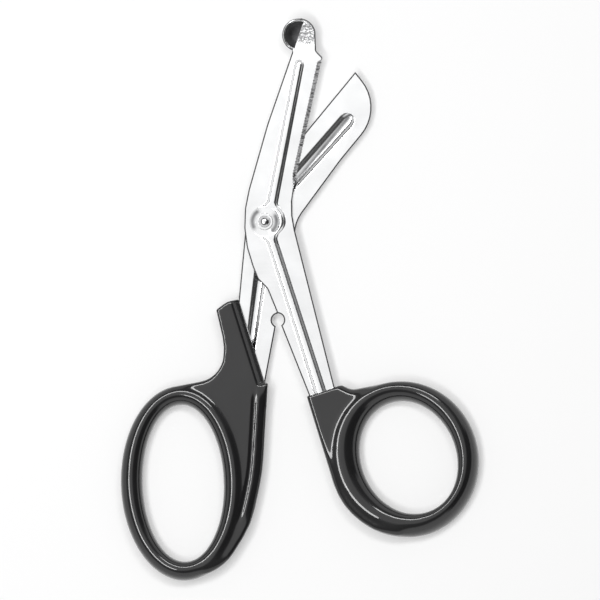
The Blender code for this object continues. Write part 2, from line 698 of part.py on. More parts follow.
def make_rivet():
    back_top = rear_inner - SHEET - SEAT_GAP
    back_low = back_top - BACK_HEAD_HEIGHT
    dome_low = front_inner + SHEET + SEAT_GAP + WASHER_THICKNESS + SEAT_GAP
    profile = [(0.0, back_low), (BACK_HEAD_RADIUS * BACK_HEAD_FLAT, back_low),
               (BACK_HEAD_RADIUS, back_low + BACK_HEAD_HEIGHT / 2), (BACK_HEAD_RADIUS, back_top),
               (PIN_RADIUS, back_top), (PIN_RADIUS, dome_low)]
    for angle in DOME_ANGLES:
        a = math.radians(angle)
        profile.append((DOME_RADIUS * math.cos(a), dome_low + DOME_HEIGHT * math.sin(a)))
    profile.append((0.0, dome_low + DOME_HEIGHT))
    return make_object("pivot_rivet", turned(profile, ROUND_STEPS), rivet_steel)


def make_washer():
    low = front_inner + SHEET + SEAT_GAP
    high = low + WASHER_THICKNESS
    bore = PIN_RADIUS + SEAT_GAP
    rim = WASHER_THICKNESS * WASHER_SLOPE
    profile = [(bore, low), (WASHER_RADIUS, low), (WASHER_RADIUS, high - rim),
               (WASHER_RADIUS - rim, high), (bore, high), (bore, low)]
    return make_object("rivet_washer", turned(profile, ROUND_STEPS), steel)


# Moulded handles

def loop_frame(shank, down, out, turn):
    """Centre of a loop and its two plan axes: across and lengthwise."""
    centre = shank.middle(shank.reach + down, out)
    across = shank.across.copy()
    across.rotate(Matrix.Rotation(turn, 2))
    return centre, across, Vector((-across.y, across.x))


def loop_point(loop, angle, share):
    """A point in the loop's plan: share 0 on the hole's edge, 1 on the outer edge."""
    (centre, across, length), hole, band, shift = loop
    sideways = math.cos(angle) * (hole[0] + band[0] * share) + shift[0] * share
    lengthwise = math.sin(angle) * (hole[1] + band[1] * share) + shift[1] * share
    return centre + across * sideways + length * lengthwise


def loop_solid(loop, tilt):
    """A ring with a rounded section; its upper side leans over by tilt."""
    bm = bmesh.new()
    half_height = HANDLE_THICKNESS / 2
    power = 2 / SECTION_POWER
    flat = math.sin(math.pi / 2 - math.pi / SECTION_STEPS) ** power
    lean = Vector(tilt)
    rings = []
    for i in range(LOOP_STEPS):
        angle = 2 * math.pi * i / LOOP_STEPS
        inside = loop_point(loop, angle, 0.0)
        outside = loop_point(loop, angle, 1.0)
        middle = (inside + outside) / 2
        radial = (outside - inside) / 2
        shift = abs(lean.dot(radial.normalized())) * half_height
        least = LEAST_BAND * radial.length
        half = math.sqrt(max(radial.length ** 2 - shift ** 2, least ** 2))
        ring = []
        for k in range(SECTION_STEPS):
            phase = 2 * math.pi * (k + 0.5) / SECTION_STEPS
            across = math.copysign(abs(math.cos(phase)) ** power, math.cos(phase))
            rise = math.copysign(abs(math.sin(phase)) ** power, math.sin(phase)) / flat
            rise = max(-1.0, min(1.0, rise)) * half_height
            p = middle + radial.normalized() * across * half + lean * rise
            ring.append(bm.verts.new((p.x, p.y, MIDDLE + rise)))
        rings.append(ring)
    for i in range(LOOP_STEPS):
        near = rings[i]
        far = rings[(i + 1) % LOOP_STEPS]
        for k in range(SECTION_STEPS):
            n = (k + 1) % SECTION_STEPS
            bm.faces.new((near[k], near[n], far[n], far[k]))
    return bm


def web_solid(pieces, low, high, tilt=(0.0, 0.0)):
    """A flat body from outline pieces (points, edge rounding), clockwise or not.

    A piece without a rounding lies inside the loop, so it leans as the loop does."""
    bm = bmesh.new()
    weight = bm.edges.layers.float.new("bevel_weight_edge")
    widest = max(width or 0.0 for points, width in pieces)
    lean = Vector(tilt)
    rings = [[], []]
    widths = []
    for points, width in pieces:
        for p in points:
            for ring, z in zip(rings, (low, high)):
                q = p + lean * (z - MIDDLE) if width is None else p
                ring.append(bm.verts.new((q.x, q.y, z)))
            widths.append(width or 0.0)
    count = len(widths)
    for ring in rings:
        bm.faces.new(ring)
        for i in range(count):
            edge = bm.edges.get((ring[i], ring[(i + 1) % count]))
            edge[weight] = widths[i] / widest if widest else 0.0
    for i in range(count):
        j = (i + 1) % count
        bm.faces.new((rings[0][i], rings[0][j], rings[1][j], rings[1][i]))
    return bm


def soften(web, widest):
    """Round the web's upper and lower edges, each by its own share of the widest."""
    step = web.modifiers.new("rounded_edges", "BEVEL")
    step.limit_method = "WEIGHT"
    step.width = widest
    step.segments = EDGE_SEGMENTS
    step.use_clamp_overlap = True


def prism(name, outline, low, high):
    return make_object(name, web_solid([(outline, 0.0)], low, high))


def socket(handle, shank, side, inner_z, bead_out, bead_half, start):
    """Blind socket for the tang and its bead, with a running gap all round."""
    gap = RUNNING_GAP
    tongue = tang_outline(shank, gap)
    outline = [shank.edge(start, -1, gap)] + tongue + [shank.edge(start, 1, gap)]
    low, high = sorted((inner_z - side * gap, inner_z + side * (SHEET + gap)))
    combine(handle, "DIFFERENCE", prism(handle.name + "_socket", outline, low, high))
    end = shank.reach + TANG_SHOULDER + TANG_LENGTH + gap
    half = bead_half + gap
    groove = [shank.place(start, bead_out - half), shank.place(end, bead_out - half),
              shank.place(end, bead_out + half), shank.place(start, bead_out + half)]
    low, high = sorted((inner_z + side * SHEET / 2,
                        inner_z + side * (SHEET + BEAD_HEIGHT + gap)))
    combine(handle, "DIFFERENCE", prism(handle.name + "_bead_socket", groove, low, high))


def loop_arc(loop, start, end):
    """The middle line of a loop from one angle to another."""
    steps = LOOP_MIDDLE_STEPS
    angles = [start + (end - start) * i / steps for i in range(steps + 1)]
    return [loop_point(loop, a, LOOP_MIDDLE) for a in angles]


def make_finger_handle():
    shank = rear_shank
    reach = shank.reach
    top = reach - MOUTH_LENGTH
    loop = (loop_frame(shank, FINGER_LOOP_DOWN, FINGER_LOOP_OUT, FINGER_LOOP_TURN),
            FINGER_HOLE, FINGER_BAND, FINGER_SHIFT)
    ring = loop_solid(loop, FINGER_TILT)
    wall = SPUR_WALL + REAR_SHANK_HALF
    spur_low = reach + SPUR_HOLLOW_DROP
    side_out = REAR_SHANK_HALF + FINGER_SIDE_WALL
    left_join = loop_point(loop, FINGER_LEFT_JOIN, JOIN_SHARE)
    right_join = loop_point(loop, FINGER_RIGHT_JOIN, JOIN_SHARE)
    mouth_top = shank.edge(top, -1)
    mouth_low = shank.edge(reach, 1)
    spur_tip = shank.edge(top + SPUR_DROP, -1, SPUR_WIDTH)
    outer = rounded_path([
        (*left_join, 0.0),
        (*shank.middle(spur_low, -wall), SPUR_HOLLOW_RADIUS),
        (*shank.middle(top + SPUR_SWELL_AT * MOUTH_LENGTH, -wall), SPUR_SWELL_RADIUS),
        (*spur_tip, 0.0)])
    spur_end = rounded_path([
        (*spur_tip, 0.0),
        (*shank.edge(top + SPUR_CREST * SPUR_DROP, -1, SPUR_WIDTH / 2), SPUR_END_RADIUS),
        (*mouth_top, 0.0)])[1:-1]
    back = [(*shank.middle(reach + down, out), radius) for down, out, radius in FINGER_BACK]
    inner = rounded_path([(*mouth_low, 0.0), (*shank.middle(reach, side_out), 0.0)]
                         + back + [(*right_join, 0.0)])[1:]
    loop_back = loop_arc(loop, FINGER_RIGHT_JOIN - JOIN_OVERLAP, FINGER_LEFT_JOIN + JOIN_OVERLAP)
    pieces = [(outer, FINGER_SOFT_EDGE), (spur_end, SOFT_MOUTH), ([mouth_top], 0.0),
              ([mouth_low], SOFT_MOUTH), (inner, FINGER_INNER_ROUND), (loop_back, None)]
    web = make_object("finger_handle",
                      web_solid(pieces, WEB_BOTTOM, WEB_BOTTOM + WEB_THICKNESS, FINGER_TILT),
                      black_plastic)
    soften(web, FINGER_INNER_ROUND)
    combine(web, "UNION", make_object("finger_loop", ring))
    socket(web, shank, -1, rear_inner, REAR_BEAD_OUT, REAR_BEAD_HALF, top - SPUR_WIDTH)
    chamfer_mouth(web, mouth_top, mouth_low)
    return web


def chamfer_mouth(handle, start, end):
    """Slope the mouth's upper and lower edges down towards the steel."""
    run = (end - start).normalized()
    out = Vector((-run.y, run.x))
    first = start - run * SPUR_WIDTH * 2
    last = end + run * MOUTH_OVERCUT
    for name, edge_z, step in (("upper", WEB_BOTTOM + WEB_THICKNESS, -1),
                               ("lower", WEB_BOTTOM, 1)):
        bm = bmesh.new()
        beyond = edge_z + step * MOUTH_CHAMFER
        corners = [(-MOUTH_CHAMFER, edge_z), (MOUTH_CHAMFER, edge_z - step * MOUTH_CHAMFER),
                   (MOUTH_CHAMFER, beyond), (0.0, beyond)]
        ends = []
        for point in (first, last):
            ends.append([bm.verts.new((*(point + out * across), z)) for across, z in corners])
        for i in range(4):
            j = (i + 1) % 4
            bm.faces.new((ends[0][i], ends[0][j], ends[1][j], ends[1][i]))
        bm.faces.new(ends[0])
        bm.faces.new(ends[1])
        combine(handle, "DIFFERENCE", make_object(handle.name + "_mouth_" + name, bm))


def make_thumb_handle():
    shank = front_shank
    reach = shank.reach
    loop = (loop_frame(shank, THUMB_LOOP_DOWN, THUMB_LOOP_OUT, THUMB_LOOP_TURN),
            THUMB_HOLE, THUMB_BAND, THUMB_SHIFT)
    ring = loop_solid(loop, THUMB_TILT)
    side = FRONT_SHANK_HALF + THUMB_SIDE_WALL
    lip = FRONT_SHANK_HALF + THUMB_LIP_WALL
    top_join = loop_point(loop, THUMB_TOP_JOIN, JOIN_SHARE)
    low_join = loop_point(loop, THUMB_LOW_JOIN, JOIN_SHARE)
    lip_corner = shank.middle(reach, lip)
    upper = rounded_path([
        (*top_join, 0.0),
        (*shank.middle(reach + LIP_DROP, lip + LIP_SWELL), LIP_RADIUS),
        (*lip_corner, 0.0)])
    back = [(*shank.middle(reach + down, out), radius) for down, out, radius in THUMB_BACK]
    side_edge = rounded_path([(*shank.middle(reach, -side), 0.0)] + back + [(*low_join, 0.0)])
    loop_back = loop_arc(loop, THUMB_LOW_JOIN + JOIN_OVERLAP, THUMB_TOP_JOIN - JOIN_OVERLAP)
    pieces = [(upper[:-1], THUMB_TOP_ROUND), ([lip_corner], SOFT_MOUTH),
              (side_edge, THUMB_SOFT_EDGE), (loop_back, None)]
    web = make_object("thumb_handle",
                      web_solid(pieces, WEB_BOTTOM, WEB_BOTTOM + WEB_THICKNESS, THUMB_TILT),
                      black_plastic)
    soften(web, THUMB_TOP_ROUND)
    combine(web, "UNION", make_object("thumb_loop", ring))
    socket(web, shank, 1, front_inner, FRONT_BEAD_OUT, FRONT_BEAD_HALF, reach - SPUR_WIDTH)
    return web


# Assembly: each half turns with an empty on the pivot

def assemble():
    rear = [make_plain_blade(), make_finger_handle(), make_rivet(), make_washer()]
    front = [make_serrated_blade(), make_thumb_handle()]
    bodies = []
    for name, lean, parts in (("finger_side", REAR_LEAN, rear),
                              ("thumb_side", REAR_LEAN - OPENING, front)):
        body = bpy.data.objects.new(name, None)
        bpy.context.scene.collection.objects.link(body)
        body.rotation_euler.z = -lean
        bodies.append(body)
        tools = [step.object for part in parts for step in part.modifiers
                 if step.type == "BOOLEAN"]
        for piece in parts + tools:
            piece.parent = body
    return bodies, rear + front


def centre_on_origin(bodies, parts):
    """Move both bodies so that the whole stands centred over the origin, lowest at z = 0."""
    bpy.context.view_layer.update()
    graph = bpy.context.evaluated_depsgraph_get()
    corners = []
    for part in parts:
        shown = part.evaluated_get(graph)
        corners += [shown.matrix_world @ v.co for v in shown.data.vertices]
    low = Vector([min(c[i] for c in corners) for i in range(3)])
    high = Vector([max(c[i] for c in corners) for i in range(3)])
    for body in bodies:
        body.location -= Vector(((low.x + high.x) / 2, (low.y + high.y) / 2, low.z))
    bpy.context.view_layer.update()


bodies, parts = assemble()
centre_on_origin(bodies, parts)
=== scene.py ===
# %% [markdown]
# # Utility scissors
# These are bent bandage scissors: pressed steel blades, a blunt safety foot, and black moulded
# handles. The construction is loaded first, and this file then gives each piece its finish,
# its fine edges, the light and the camera. Everything is in metres, seen from straight above.

# %% Load the construction
import json
import math

import bmesh
import bpy
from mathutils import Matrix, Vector


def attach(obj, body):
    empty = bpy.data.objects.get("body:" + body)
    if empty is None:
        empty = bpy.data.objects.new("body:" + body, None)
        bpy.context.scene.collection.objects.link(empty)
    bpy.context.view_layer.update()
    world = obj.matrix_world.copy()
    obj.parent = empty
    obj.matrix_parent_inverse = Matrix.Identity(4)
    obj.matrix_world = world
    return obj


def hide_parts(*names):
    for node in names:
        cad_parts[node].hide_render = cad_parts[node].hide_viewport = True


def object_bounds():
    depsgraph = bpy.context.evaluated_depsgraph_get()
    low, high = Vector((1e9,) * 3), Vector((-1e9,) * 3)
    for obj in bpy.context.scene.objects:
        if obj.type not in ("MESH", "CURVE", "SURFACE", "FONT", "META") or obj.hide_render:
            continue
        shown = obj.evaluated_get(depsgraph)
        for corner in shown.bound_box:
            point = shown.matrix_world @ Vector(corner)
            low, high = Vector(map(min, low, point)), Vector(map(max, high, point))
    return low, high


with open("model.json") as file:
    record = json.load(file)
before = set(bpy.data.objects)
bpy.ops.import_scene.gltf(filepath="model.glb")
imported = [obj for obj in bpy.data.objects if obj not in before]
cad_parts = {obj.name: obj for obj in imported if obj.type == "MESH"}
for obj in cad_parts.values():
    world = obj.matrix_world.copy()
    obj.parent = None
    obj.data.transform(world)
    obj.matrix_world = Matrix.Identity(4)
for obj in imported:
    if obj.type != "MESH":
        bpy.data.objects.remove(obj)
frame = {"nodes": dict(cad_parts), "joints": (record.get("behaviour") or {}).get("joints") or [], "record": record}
cad_low, cad_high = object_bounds()
MM = 0.001
pivot = Vector(frame["joints"][0]["pos_m"])
print("pieces:", ", ".join(sorted(frame["nodes"])))
print("box in mm:", [round((b - a) / MM, 1) for a, b in zip(cad_low, cad_high)])

# %% [markdown]
# ## A small language for materials
# Shader maths reads best as ordinary expressions. One class wraps a socket and turns + - * / into
# Math nodes. A second class holds a material and adds every other node with a single method.


# %% Shader maths
class Wire:
    """One output of a node, with arithmetic that adds Math nodes."""

    def __init__(self, tree, socket):
        self.tree = tree
        self.socket = socket

    def maths(self, operation, *values):
        node = self.tree.nodes.new("ShaderNodeMath")
        node.operation = operation
        for slot, value in zip(node.inputs, values):
            if isinstance(value, Wire):
                self.tree.links.new(value.socket, slot)
            else:
                slot.default_value = value
        return Wire(self.tree, node.outputs[0])

    def __add__(self, other):
        return self.maths("ADD", self, other)

    def __radd__(self, other):
        return self.maths("ADD", other, self)

    def __sub__(self, other):
        return self.maths("SUBTRACT", self, other)

    def __rsub__(self, other):
        return self.maths("SUBTRACT", other, self)

    def __mul__(self, other):
        return self.maths("MULTIPLY", self, other)

    def __rmul__(self, other):
        return self.maths("MULTIPLY", other, self)

    def __truediv__(self, other):
        return self.maths("DIVIDE", self, other)

    def absolute(self):
        return self.maths("ABSOLUTE", self)

    def clamp(self):
        """Kept between 0 and 1, as every mask is."""
        node = self.tree.nodes.new("ShaderNodeClamp")
        self.tree.links.new(self.socket, node.inputs["Value"])
        return Wire(self.tree, node.outputs[0])


class Finish:
    """A node tree with one method for any node: type, settings, then its sockets."""

    def __init__(self, tree):
        self.tree = tree

    def node(self, kind, settings=None, output=0, **sockets):
        made = self.tree.nodes.new("ShaderNode" + kind)
        for key, value in (settings or {}).items():
            setattr(made, key, value)
        for key, value in sockets.items():
            slot = made.inputs[key.replace("_", " ")]
            if isinstance(value, Wire):
                self.tree.links.new(value.socket, slot)
            else:
                slot.default_value = value
        return Wire(self.tree, made.outputs[output])

    def blend(self, factor, low, high):
        """A colour between two colours."""
        made = self.tree.nodes.new("ShaderNodeMix")
        made.data_type = "RGBA"
        for index, value in ((0, factor), (6, low), (7, high)):
            if isinstance(value, Wire):
                self.tree.links.new(value.socket, made.inputs[index])
            else:
                made.inputs[index].default_value = value
        return Wire(self.tree, made.outputs[2])

    def where(self):
        """The point being shaded, in metres, on the piece's own axes."""
        return self.node("TexCoord", output="Object")

    def vectors(self, operation, vector, other, output="Vector"):
        """Vector maths between a wire and a fixed vector."""
        made = self.node("VectorMath", {"operation": operation}, output, Vector=vector)
        made.socket.node.inputs[1].default_value = other
        return made

    def noise(self, scale, detail, turn=0.0):
        """Noise with this many patches to the metre, along axes turned about +Z."""
        size = scale if isinstance(scale, tuple) else (scale, scale, scale)
        place = self.node("Mapping", Vector=self.where(), Rotation=(0.0, 0.0, turn), Scale=size)
        return self.node("TexNoise", Vector=place, Scale=1.0, Detail=detail)

    def seen_rays(self):
        """1 for the rays that show a background: the camera's, and those by mirror or glass."""
        path = self.node("LightPath").socket.node
        camera, glossy, through = (
            Wire(self.tree, path.outputs[kind])
            for kind in ("Is Camera Ray", "Is Glossy Ray", "Is Transmission Ray"))
        return (camera + glossy + through).clamp()


def grey(level, blue=0.0):
    """A grey, a touch colder where blue is added."""
    return (level, level, level + blue, 1.0)


def new_finish(name):
    """A material with a Principled shader, ready for its sockets."""
    material = bpy.data.materials.new(name)
    material.use_nodes = True
    print("made", name)
    return material, Finish(material.node_tree), material.node_tree.nodes["Principled BSDF"]


def feed(finish, shader, **sockets):
    """Set or link the sockets of a shader."""
    for key, value in sockets.items():
        slot = shader.inputs[key.replace("_", " ")]
        if isinstance(value, Wire):
            finish.tree.links.new(value.socket, slot)
        else:
            slot.default_value = value


# %% [markdown]
# ## Stamped steel
# The blades are polished stainless sheet. Real polishing leaves hair-fine lines across the blade
# and faint clouds in the gloss. The lines are noise stretched a hundred times in one direction.
# They feed roughness and a very small bump, because the colour of steel hardly changes.
# Two masks can be laid over it: one paints shade into a recess, and one paints stippled shade on a patch that is
# also rougher.

# %% Steel finish
LINE_SCALE = (90.0, 9000.0, 900.0)
CLOUD_SCALE = 140.0
GRAIN_SCALE = 5200.0
SPECKLE_SCALE = 2600.0


def steel_finish(name, colour, gloss, line_turn, painted_shade=None, pressed=None):
    """Polished steel, with its lines turned, and with two masks of painted shade where they are given."""
    material, finish, shader = new_finish(name)
    lines = finish.noise(LINE_SCALE, 3.0, line_turn)
    clouds = finish.noise(CLOUD_SCALE, 4.0)
    grain = finish.noise(GRAIN_SCALE, 1.0)
    tone = finish.blend(clouds, (*[c * 0.92 for c in colour], 1.0), (*colour, 1.0))
    bump = finish.node("Bump", Strength=0.08, Distance=0.02 * MM, Height=lines + grain * 0.5)
    rough = gloss + 0.05 * lines + 0.05 * clouds
    # Painted shade: the first mask darkens the steel towards black, and roughens it a little.
    if painted_shade:
        shade_share = painted_shade(finish)
        tone = finish.blend(shade_share * (0.70 + 0.4 * clouds), tone, grey(0.05, 0.002))
        rough = rough + 0.15 * shade_share
    # Painted shade on the toe, stippled, where the press also left the polish rougher.
    if pressed:
        mask = pressed(finish)
        speckle = finish.noise(SPECKLE_SCALE, 2.0)
        toe_shade = (mask * (0.85 + (speckle - 0.5) * 4.0)).clamp()
        tone = finish.blend(toe_shade, tone, grey(0.12, 0.002))
        rough = rough + 0.30 * mask
    feed(finish, shader, Base_Color=tone, Metallic=1.0, Normal=bump, Roughness=rough)
    return material


# %% [markdown]
# ### Places on the blades
# Each blade leans to the right of the view, so two directions serve for every place on it: along
# its cutting edge, and out to its right. Places are counted from the pivot, as a maker's drawing
# does. The masks of the steel and the shaping of the blades both use them.

# %% Directions of the blades
FRONT_LEAN = math.radians(12.4)
REAR_LEAN = math.radians(39.5)
CREASE_LEAN = FRONT_LEAN + math.radians(6.5)
FOOT_UP = 63.4 * MM
FOOT_LEFT = 2.2 * MM


def lean_frame(lean):
    """Directions along a blade and out to its right."""
    along = Vector((math.sin(lean), math.cos(lean), 0.0))
    out = Vector((math.cos(lean), -math.sin(lean), 0.0))
    return along, out


front_along, front_out = lean_frame(FRONT_LEAN)
rear_out = lean_frame(REAR_LEAN)[1]
crease_out = lean_frame(CREASE_LEAN)[1]
foot_centre = pivot + front_along * FOOT_UP - front_out * FOOT_LEFT
print("foot in mm:", [round(c / MM, 1) for c in foot_centre])

# %% [markdown]
# ### Masks on the steel
# A mask is 1 where painted shade darkens the polish and makes it rougher, and 0 elsewhere. It could be painted on
# the piece, but a few sums on the distance from a known place give the same and stay sharp. Painted shade lies in
# the dish round the rivet and in the upper corner of the rear groove, and stippled painted shade lies on the toe
# beside the foot's crease.

# %% Masks
TOE_CENTRE = foot_centre + front_out * 2.5 * MM + front_along * 1.5 * MM
TOE_REACH = 6.6 * MM
TOE_FADE = 3.4 * MM
DISH_RING = 4.05 * MM
DISH_HALF = 1.25 * MM
DISH_SIDE = 0.42
GROOVE_CORNER = 0.45 * MM
GROOVE_HALF = 1.15 * MM
GROOVE_TOP = 0.15 * MM
GROOVE_FADE = 0.3 * MM


def toe_shade_mask(finish):
    """1 on the toe, right of the foot's crease, fading towards the blade, where shade is painted."""
    away = finish.vectors("DISTANCE", finish.where(), TOE_CENTRE, "Value")
    return ((TOE_REACH - away) / TOE_FADE).clamp()


def from_pivot(finish):
    """The point being shaded, counted from the pivot."""
    return finish.vectors("SUBTRACT", finish.where(), pivot)


def dish_shade_mask(finish):
    """1 at the two sides of the pivot's dish, where shade is painted."""
    level = finish.vectors("MULTIPLY", from_pivot(finish), (1.0, 1.0, 0.0))
    radius = finish.node("VectorMath", {"operation": "LENGTH"}, "Value", Vector=level)
    side = finish.vectors("DOT_PRODUCT", level, front_out, "Value").absolute() / radius
    off = (radius - DISH_RING) / DISH_HALF
    return (1.0 - off * off).clamp() * ((side - DISH_SIDE) * 3.0).clamp()


def groove_shade_mask(finish):
    """1 along the upper corner of the rear blade's groove, where shade is painted."""
    place = from_pivot(finish)
    across = finish.vectors("DOT_PRODUCT", place, rear_out, "Value")
    height = finish.vectors("DOT_PRODUCT", place, (0.0, 0.0, 1.0), "Value")
    off = (across + GROOVE_CORNER) / GROOVE_HALF
    return (1.0 - off * off).clamp() * ((-GROOVE_TOP - height) / GROOVE_FADE).clamp()


# %% The three steels
BRIGHT = (0.85, 0.855, 0.86)
BLADE_GLOSS = 0.14
# The front steel carries painted shade in the pivot's dish and on the toe, the rear steel in the corner of its
# groove.
blade_steel = steel_finish("polished_blade_steel", BRIGHT, BLADE_GLOSS, -FRONT_LEAN, dish_shade_mask,
                           toe_shade_mask)
rear_steel = steel_finish("polished_rear_steel", BRIGHT, BLADE_GLOSS, -REAR_LEAN, groove_shade_mask)
rivet_metal = steel_finish("rivet_steel_finish", (0.62, 0.62, 0.63), 0.12, 0.0)

# %% [markdown]
# ## Sheared rims
# The press shears the sheet, and the polishing wheel only reaches the faces, so the rims and the holes stay rough.
# Their near-black tone is painted shade, which outlines the bright blades, and the same dark steel is painted
# shade inside the cup.


# %% Sheared rim finish
def rim_shade_finish():
    """Torn steel, with a grain that runs through the thickness of the sheet, in a near-black tone of painted
    shade.
    """
    material, finish, shader = new_finish("sheared_rim_painted_shade")
    grain = finish.noise((2500.0, 2500.0, 700.0), 3.0)
    # Painted shade: the tone is near black, for the outline of the blades and the hollow of the cup.
    tone = finish.blend(grain, grey(0.035, 0.001), grey(0.11, 0.002))
    bump = finish.node("Bump", Strength=0.3, Distance=0.05 * MM, Height=grain)
    feed(finish, shader, Base_Color=tone, Metallic=1.0, Normal=bump, Roughness=0.38 + 0.15 * grain)
    return material


rim_shade_steel = rim_shade_finish()

# %% [markdown]
# ## Serrated edge
# The front blade's edge is ground at a slant and cut with fine teeth, so that cloth can't slip.
# The construction has the teeth themselves. The grinder's strokes between them are smaller than
# a pixel, so they are lines across the edge in the finish: one noise, squeezed along the blade,
# darkens the steel between the strokes and lifts the bump.


# %% Ground edge finish
def ground_finish():
    """Ground steel with dark strokes across the cutting edge."""
    material, finish, shader = new_finish("serrated_edge_steel")
    strokes = finish.noise((500.0, 3400.0, 500.0), 1.0, FRONT_LEAN)
    cut = ((strokes - 0.38) * 5.0).clamp()
    tone = finish.blend(cut, grey(0.09, 0.002), grey(0.50, 0.005))
    bump = finish.node("Bump", Strength=0.5, Distance=0.06 * MM, Height=cut)
    feed(finish, shader, Base_Color=tone, Metallic=1.0, Normal=bump, Roughness=0.34 - 0.1 * cut)
    return material


ground_steel = ground_finish()

# %% [markdown]
# ## Moulded black plastic
# The handles come out of a polished mould. A coat gives the gloss of the mould's skin, with crisp
# highlights. Under it the plastic is satin, so each highlight lies in a soft grey glow. Fine noise
# in the bump gives that glow its grain, and larger noise dulls it where a hand has rubbed.


# %% Plastic finish
def plastic_finish():
    """Satin black plastic under the glossy skin of the mould."""
    material, finish, shader = new_finish("moulded_black_plastic")
    skin = finish.noise(2600.0, 2.0)
    rub = finish.noise(70.0, 3.0)
    tone = finish.blend(rub, grey(0.006, 0.0005), grey(0.012, 0.0005))
    bump = finish.node("Bump", Strength=0.25, Distance=0.03 * MM, Height=skin)
    feed(finish, shader, Base_Color=tone, Roughness=0.27 + 0.10 * rub + 0.05 * skin, Normal=bump,
         IOR=1.5, Specular_IOR_Level=0.12, Coat_Weight=1.0, Coat_Roughness=0.07)
    return material


black_plastic = plastic_finish()

# %% [markdown]
# ## Pieces that take over from the construction
# The construction's meshes are made of loose, flat triangles. A copy of each is joined up into
# larger faces and four-sided ones, so that light runs evenly along a bead. It is then worked
# on, shaded smooth and given its finish, and it then stands for the piece on the same body.
# Weighted normals let large flat faces stay flat while the small faces round them turn the light.

# %% Joined copies
SAME_POINT = 0.002 * MM
LEVEL = 0.9999                  # least upward share of a level face's normal
FLAT_ANGLE = math.radians(0.6)
PAIR_ANGLE = math.radians(8.0)  # most bend between two triangles that become one face
PAIR_SHAPE = math.radians(150.0)


def joined_copy(node):
    """A bmesh of a piece with its loose triangles joined up and its level faces whole."""
    bm = bmesh.new()
    bm.from_mesh(frame["nodes"][node].data)
    bmesh.ops.remove_doubles(bm, verts=bm.verts, dist=SAME_POINT)
    level = [e for e in bm.edges if all(abs(f.normal.z) > LEVEL for f in e.link_faces)]
    bmesh.ops.dissolve_limit(bm, angle_limit=FLAT_ANGLE, verts=[], edges=level)
    bmesh.ops.join_triangles(bm, faces=[f for f in bm.faces if len(f.verts) == 3],
                             angle_face_threshold=PAIR_ANGLE, angle_shape_threshold=PAIR_SHAPE)
    return bm


def finished(bm, name, node, materials, sharp=32.0):
    """Turn a bmesh into the piece that stands for a node of the construction."""
    mesh = bpy.data.meshes.new(name)
    bm.to_mesh(mesh)
    bm.free()
    mesh.shade_smooth()
    mesh.set_sharp_from_angle(angle=math.radians(sharp))
    for material in materials:
        mesh.materials.append(material)
    piece = bpy.data.objects.new(name, mesh)
    bpy.context.scene.collection.objects.link(piece)
    weighted = piece.modifiers.new("weighted_normals", "WEIGHTED_NORMAL")
    weighted.keep_sharp = True
    body = next(b for b, nodes in frame["record"]["behaviour"]["bodies"].items() if node in nodes)
    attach(piece, body)
    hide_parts(node)
    print(name, "faces:", len(mesh.polygons))


# %% [markdown]
# ## Blades
# A stamped blade has no sharp rim: the press and the polishing wheel leave it slightly round.
# A bevel on the rim could be a modifier, but the operator can be given just the edges that
# stand out by more than forty degrees, so the pressed bead keeps its own soft flanks.
# The ground cutting edges stay sharp, and so does the tang that the handle hides.

# %% Sizes of the rims and edges
RIM = 0.44 * MM                 # how far a rim is rounded
STANDS_OUT = math.radians(40.0)
STRIP = 1.6 * MM                # half width in which the ground edge lies
GROUND_START = 11.0 * MM        # from the pivot's level, up the blade
GROUND_END = 57.3 * MM
FRONT_EDGE = 7.2 * MM           # cutting edges, out from the pivot
REAR_EDGE = -8.4 * MM
FRONT_BEND = math.radians(30.2)
REAR_BEND = math.radians(31.6)
FRONT_REACH = 60.5 * MM         # down the shank to the handle's mouth
REAR_REACH = 54.0 * MM
LIP_RADIUS = 6.4 * MM           # circle that holds the lip of the foot's cup
WALL = 0.2                      # most upward share of a wall's normal
FACE = 0.97                     # least upward share of a blade face's normal
LIP_FACE = 0.9
RIM_SHADE_SLOT = 1                    # material slots of the blades, after the polished steel
GROUND_SLOT = 2


# %% Rounded rims
def polished_sheet(bm, lean, edge_out, bend, reach):
    """Round a blade's sheared rims, all but its ground cutting edge, and give rims and walls the dark steel of
    painted shade.
    """
    along, out = lean_frame(lean)
    shank = Vector((math.sin(bend - lean), -math.cos(bend - lean), 0.0))

    def left_alone(vert):
        """On the ground edge, or on the tang inside the handle."""
        place = vert.co - pivot
        ground = abs(place.dot(out) - edge_out) < STRIP
        ground = ground and GROUND_START < place.dot(along) < GROUND_END
        return ground or place.dot(shank) > reach

    def sheared(edge):
        """Between a wall and a flat face, or round the cup's lip, and standing out."""
        slopes = sorted(face.normal.z for face in edge.link_faces)
        steep = sorted(abs(slope) for slope in slopes)
        on_lip = all((v.co - foot_centre).xy.length < LIP_RADIUS
                     and (v.co - foot_centre).dot(crease_out) < 0.0 for v in edge.verts)
        outline = steep[0] < WALL and steep[1] > FACE
        lip = on_lip and slopes[0] < WALL and slopes[1] > LIP_FACE
        return (outline or lip) and edge.calc_face_angle_signed() > STANDS_OUT

    rims = [e for e in bm.edges if sheared(e) and not all(left_alone(v) for v in e.verts)]
    rounded = bmesh.ops.bevel(bm, geom=rims, offset=RIM, offset_type="OFFSET", segments=3,
                              profile=0.5, affect="EDGES", material=-1)
    # The rounded rims and the walls get the dark steel, painted shade that outlines the blade.
    for face in rounded["faces"]:
        face.material_index = RIM_SHADE_SLOT
    bm.normal_update()
    for face in bm.faces:
        if abs(face.normal.z) < 0.3 and not all(left_alone(v) for v in face.verts):
            face.material_index = RIM_SHADE_SLOT
    print("rounded rims:", len(rims))
    return bm


# %% [markdown]
# ### The safety foot
# The front blade ends in a shallow cup with a blunt lip, which slides under a bandage. The lip is levelled before
# its rim is rounded, so that it shines as one thin line. The cup's inside gets the dark steel of the rims, which
# paints the shade of the hollow. The ground strip below the toe gets its own finish.

